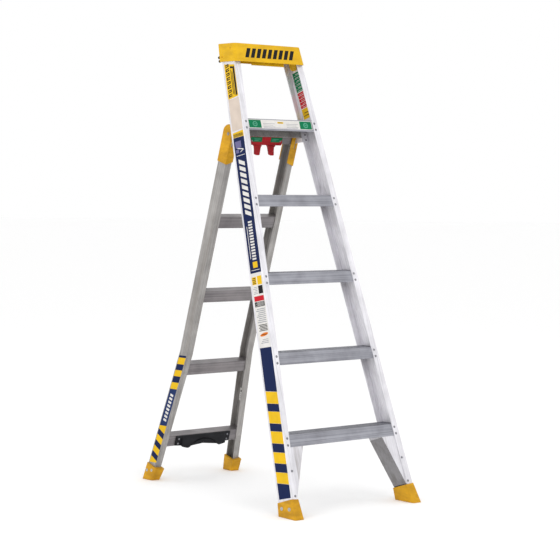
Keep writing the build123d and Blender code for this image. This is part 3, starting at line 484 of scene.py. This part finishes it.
# a ladder of slanting white bars with finer ones below, plain pattern only
for i in range(9):
    low = 1.192 + i * 0.0258
    band(WHITE, low, low + 0.0165, 0.018, 0.054, 1, slope=0.55)
rules(WHITE, 1.012, 0.0114, 0.0068, 0.022, 0.046, 0, 14)
band(YELLOW, 0.980, 1.004, 0.020, 0.048, 1)
band(WHITE, 1.020, 1.150, 0.0545, 0.0575, 1, slope=0)
band(WHITE, 0.9700, 0.9720, 0.010, 0.062, 1)
# the pale panel, the plain navy one, then hazard bands down to the boot
E0, E1 = 0.001, 0.0705
side.shape(WHITE, [(0.6602, D0), (0.9555, D0), (0.9635, D1), (0.6698, D1)])
side.shape(NAVY, [(0.4852, E0), (0.6597, E0), (0.6695, E1), (0.5020, E1)])
edges = [0.4932, 0.4468, 0.4165, 0.3705, 0.3400, 0.2940, 0.2600, 0.2180, 0.1840, 0.1415]
for i in range(len(edges) - 1):
    band((YELLOW, NAVY)[i % 2], edges[i + 1], edges[i] - 0.0004, E0, E1, 0, 0.24)
side.shape(NAVY, [(0.0825, E0), (0.1324, E0), (0.1493, E1), (0.0870, E1)])
# plain blocks and rules on the pale panel
band(YELLOW, 0.912, 0.946, 0.007, 0.034, 1)
band(BLACK, 0.876, 0.908, 0.007, 0.034, 1)
band(YELLOW, 0.9135, 0.9445, 0.040, 0.066, 1)
rules(BLACK, 0.917, 0.0068, 0.0030, 0.043, 0.064, 0.004, 4, level=2)
rules(GREY, 0.877, 0.0062, 0.0025, 0.040, 0.065, 0.005, 5, cycle=3)
band(RED, 0.848, 0.868, 0.007, 0.066, 1)
band(BLACK, 0.826, 0.8455, 0.007, 0.066, 1)
rules(WHITE, 0.829, 0.0042, 0.0015, 0.012, 0.060, 0.007, 4, level=2)
rules(GREY, 0.763, 0.0074, 0.0032, 0.009, 0.064, 0.006, 8, cycle=3)
rules(BLACK, 0.730, 0.0056, 0.0030, 0.008, 0.060, 0.006, 5)
oval = [(s, d) for d, s in ellipse(0.034, 0.7155, 0.025, 0.0065)]
side.shape(ORANGE, oval, 1)
band(BLACK, 0.7142, 0.7164, 0.017, 0.051, 2)
rules(GREY, 0.682, 0.0065, 0.0025, 0.012, 0.058, 0.006, 3, cycle=3)
side.done()

# yellow label above it, with a row of plain marks and a solid bar along the stile
top = Label("stile_label_top", "front_section", left_web, "yellow_plastic")
top.shape(YELLOW, [(1.674, 0.005), (1.805, 0.005), (1.828, 0.069), (1.678, 0.069)])
top.rect(BLACK, 1.680, 1.800, 0.008, 0.0185, 1)
top.rect(BLACK, 1.684, 1.782, 0.0225, 0.0260, 1)
top.rect(BLACK, 1.690, 1.792, 0.0300, 0.0335, 1)
top.shape(BLACK, [(1.794, 0.0185), (1.802, 0.0185), (1.807, 0.034), (1.798, 0.034)], 1)
for i in range(8):
    low = 1.684 + i * 0.0178
    shift = 0.006 * (i % 2)
    top.rect(BLACK, low, low + 0.0118, 0.041, 0.063, 1)
    top.rect(YELLOW, low + 0.0042, low + 0.0072, 0.041 + shift, 0.057 + shift, 2)
top.done()

# green, red and yellow scale on the inside of the right front stile
inner = Label("stile_label_right", "front_section", right_web_inside, "yellow_plastic")
inner.rect(WHITE, 1.602, 1.808, 0.018, 0.071)
for i in range(6):
    low = 1.722 + i * 0.0138
    inner.rect(GREEN, low, low + 0.0128, 0.021, 0.068, 1)
    inner.rect(WHITE, low + 0.0035, low + 0.0050, 0.030, 0.060 - 0.006 * (i % 2), 2)
for i in range(5):
    low = 1.6525 + i * 0.0136
    inner.rect(RED, low, low + 0.0118, 0.021, 0.068, 1)
    inner.rect(WHITE, low + 0.0040, low + 0.0052, 0.030, 0.058 - 0.006 * (i % 2), 2)
inner.rect(YELLOW, 1.606, 1.6495, 0.021, 0.068, 1)
inner.rect(BLACK, 1.618, 1.621, 0.026, 0.062, 2)
inner.rect(BLACK, 1.630, 1.633, 0.026, 0.056, 2)
inner.done()

# slanting black bars across the front of the cap, plain pattern only
cap_mark = Label("cap_mark", "front_section", cap_face, "yellow_plastic")
BAR, SLANT = 0.0185, 0.018
for i in range(9):
    low = -0.131 + i * 0.0282
    high = low + BAR
    corners = [(low, 1.829), (high, 1.829), (high + SLANT, 1.869), (low + SLANT, 1.869)]
    cap_mark.shape(BLACK, corners)
cap_mark.done()

# full-width label on the front of the top tread, measured down from its upper edge
TREAD_EDGE = 1.5 / ca
tread = Label("tread_label", "front_section", tread_face, "tread_aluminium")
tread.rect(WHITE, -0.164, 0.164, TREAD_EDGE - 0.0375, TREAD_EDGE - 0.0015)
for sign in (-1, 1):
    low, high = sorted((sign * 0.100, sign * 0.162))
    middle = (low + high) / 2
    tread.rect(GREEN, low, high, TREAD_EDGE - 0.0355, TREAD_EDGE - 0.003, 1)
    tread.shape(TEAL, ellipse(middle, TREAD_EDGE - 0.0195, 0.012, 0.011), 2)
    tread.shape(GREEN, ellipse(middle, TREAD_EDGE - 0.0195, 0.0075, 0.007), 3)
    tread.rect(TEAL, middle - 0.0045, middle + 0.0045, TREAD_EDGE - 0.0215, TREAD_EDGE - 0.0180, 4)
    low, high = sorted((sign * 0.030, sign * 0.090))
    for i in range(3):
        rule = TREAD_EDGE - 0.0305 + i * 0.0065
        tread.rect(GREY, low, high - 0.009 * (i % 2), rule, rule + 0.0015, 1)
tread.rect(YELLOW, -0.015, 0.015, TREAD_EDGE - 0.0155, TREAD_EDGE - 0.0085, 1)
tread.rect(BLACK, -0.011, 0.011, TREAD_EDGE - 0.0130, TREAD_EDGE - 0.0110, 2)
tread.rect(LILAC, -0.088, 0.088, TREAD_EDGE - 0.0345, TREAD_EDGE - 0.0335, 1)
tread.done()

# rear left leg: bands cut level with the floor, then slanting hazard stripes
leg = Label("leg_label_left", "rear_section", left_leg, "yellow_plastic")
B0, B1 = -0.029, 0.014       # its rear and front edges
TURN = sb / cb


def level_band(color, low, high, level=0):
    rise0, rise1 = B0 * TURN, B1 * TURN
    leg.shape(color, [(low - rise0, B0), (high - rise0, B0), (high - rise1, B1), (low - rise1, B1)], level)


level_band(NAVY, 0.9535, 0.9628)
level_band(YELLOW, 0.9630, 0.9918)
level_band(NAVY, 0.9920, 1.0183)
level_band(YELLOW, 1.0185, 1.0454)
level_band(NAVY, 1.0456, 1.0732)
level_band(YELLOW, 1.0734, 1.1023)
level_band(STEEL_BLUE, 1.1025, 1.2667)
level_band(YELLOW, 1.2669, 1.4330)
STRIPE = 0.0235
FALL = (B1 - B0) * 0.20
for i in range(3):
    low = 1.281 + i * 0.0495 - B0 * TURN
    high = low + STRIPE
    leg.shape(NAVY, [(low, B0), (high, B0), (high + FALL, B1), (low + FALL, B1)], 1)
for i in range(8):
    low = 1.128 + i * 0.0158
    leg.rect(WHITE, low, low + 0.0092, -0.017, 0.003, 1)
leg.done()

# small white tag inside the rear right leg
tag = Label("leg_tag_right", "rear_section", right_leg_inside, "nylon")
tag.rect(WHITE, 1.132, 1.190, -0.0285, 0.002)
tag.rect(BLACK, 1.142, 1.150, -0.024, -0.006, 1)
for i in range(3):
    low = 1.158 + i * 0.009
    tag.rect(GREY, low, low + 0.003, -0.024, -0.003 - 0.004 * (i % 2), 1)
tag.done()

# green patches on the lock housing
house = Label("housing_label", "rear_section", housing_face, "red_plastic")
for sign in (-1, 1):
    low, high = sorted((sign * 0.0225, sign * 0.0825))
    house.rect(GREEN, low, high, 0.0012, 0.0135)
    low, high = sorted((sign * 0.0225, sign * 0.0700))
    house.rect(GREEN, low, high, 0.0136, 0.0215)
    for i in range(2):
        rule = 0.008 + 0.006 * i
        house.rect(TEAL, low + 0.008, high - 0.008 - 0.010 * i, rule, rule + 0.0025, 1)
house.done()


# ------------------------------------------------------------------ stage, lights, camera
FLOOR_HALF = 60.0
CORNERS = [(-FLOOR_HALF, -FLOOR_HALF, 0), (FLOOR_HALF, -FLOOR_HALF, 0),
           (FLOOR_HALF, FLOOR_HALF, 0), (-FLOOR_HALF, FLOOR_HALF, 0)]
floor_mesh = bpy.data.meshes.new("floor")
floor_mesh.from_pydata(CORNERS, [], [(0, 1, 2, 3)])
floor = bpy.data.objects.new("floor", floor_mesh)
bpy.context.scene.collection.objects.link(floor)
floor.location.z = cad_box[0][2] - 0.0005
floor_mesh.materials.append(new_material("floor", (0.99, 0.99, 0.99), 0.9)[0])

world = bpy.data.worlds.new("studio")
bpy.context.scene.world = world
world.use_nodes = True
background = world.node_tree.nodes["Background"]
background.inputs["Color"].default_value = (1.0, 1.0, 1.0, 1)
background.inputs["Strength"].default_value = 1.0


def area(name, at, to, size, power):
    """A square soft light at one point, aimed at another."""
    data = bpy.data.lights.new(name, "AREA")
    data.size = size
    data.energy = power
    lamp = bpy.data.objects.new(name, data)
    bpy.context.scene.collection.objects.link(lamp)
    lamp.location = at
    lamp.rotation_euler = (Vector(to) - Vector(at)).to_track_quat("-Z", "Y").to_euler()


area("key", (-0.6, -4.4, 4.4), (0, 0, 0.9), 2.6, 45)
area("side", (-4.5, -1.2, 2.4), (0, 0, 0.9), 2.4, 40)
area("fill", (3.6, -2.8, 2.2), (0, 0, 0.8), 2.6, 6)

SENSOR = 36.0                # mm
FOCAL = 3.1665714            # lens over sensor width
YAW, PITCH, ROLL = radians(39.746), radians(-3.115), radians(0.5795)
CAMERA_AT = Vector((-4.5354, FLOOR_LINE - 4.9759, 1.2462))

camera_data = bpy.data.cameras.new("camera")
camera = bpy.data.objects.new("camera", camera_data)
bpy.context.scene.collection.objects.link(camera)
camera_data.sensor_width = SENSOR
camera_data.lens = FOCAL * SENSOR
camera_data.clip_end = 60
look = Vector((sin(YAW) * cos(PITCH), cos(YAW) * cos(PITCH), sin(PITCH)))
right = Vector((cos(YAW), -sin(YAW), 0))
up = right.cross(look)
cam_x = right * cos(ROLL) + up * sin(ROLL)
cam_y = up * cos(ROLL) - right * sin(ROLL)
rows = [(cam_x[i], cam_y[i], -look[i], CAMERA_AT[i]) for i in range(3)]
camera.matrix_world = Matrix((rows[0], rows[1], rows[2], (0, 0, 0, 1)))
bpy.context.scene.camera = camera
bpy.context.scene.view_settings.view_transform = "Standard"

bpy.context.view_layer.update()
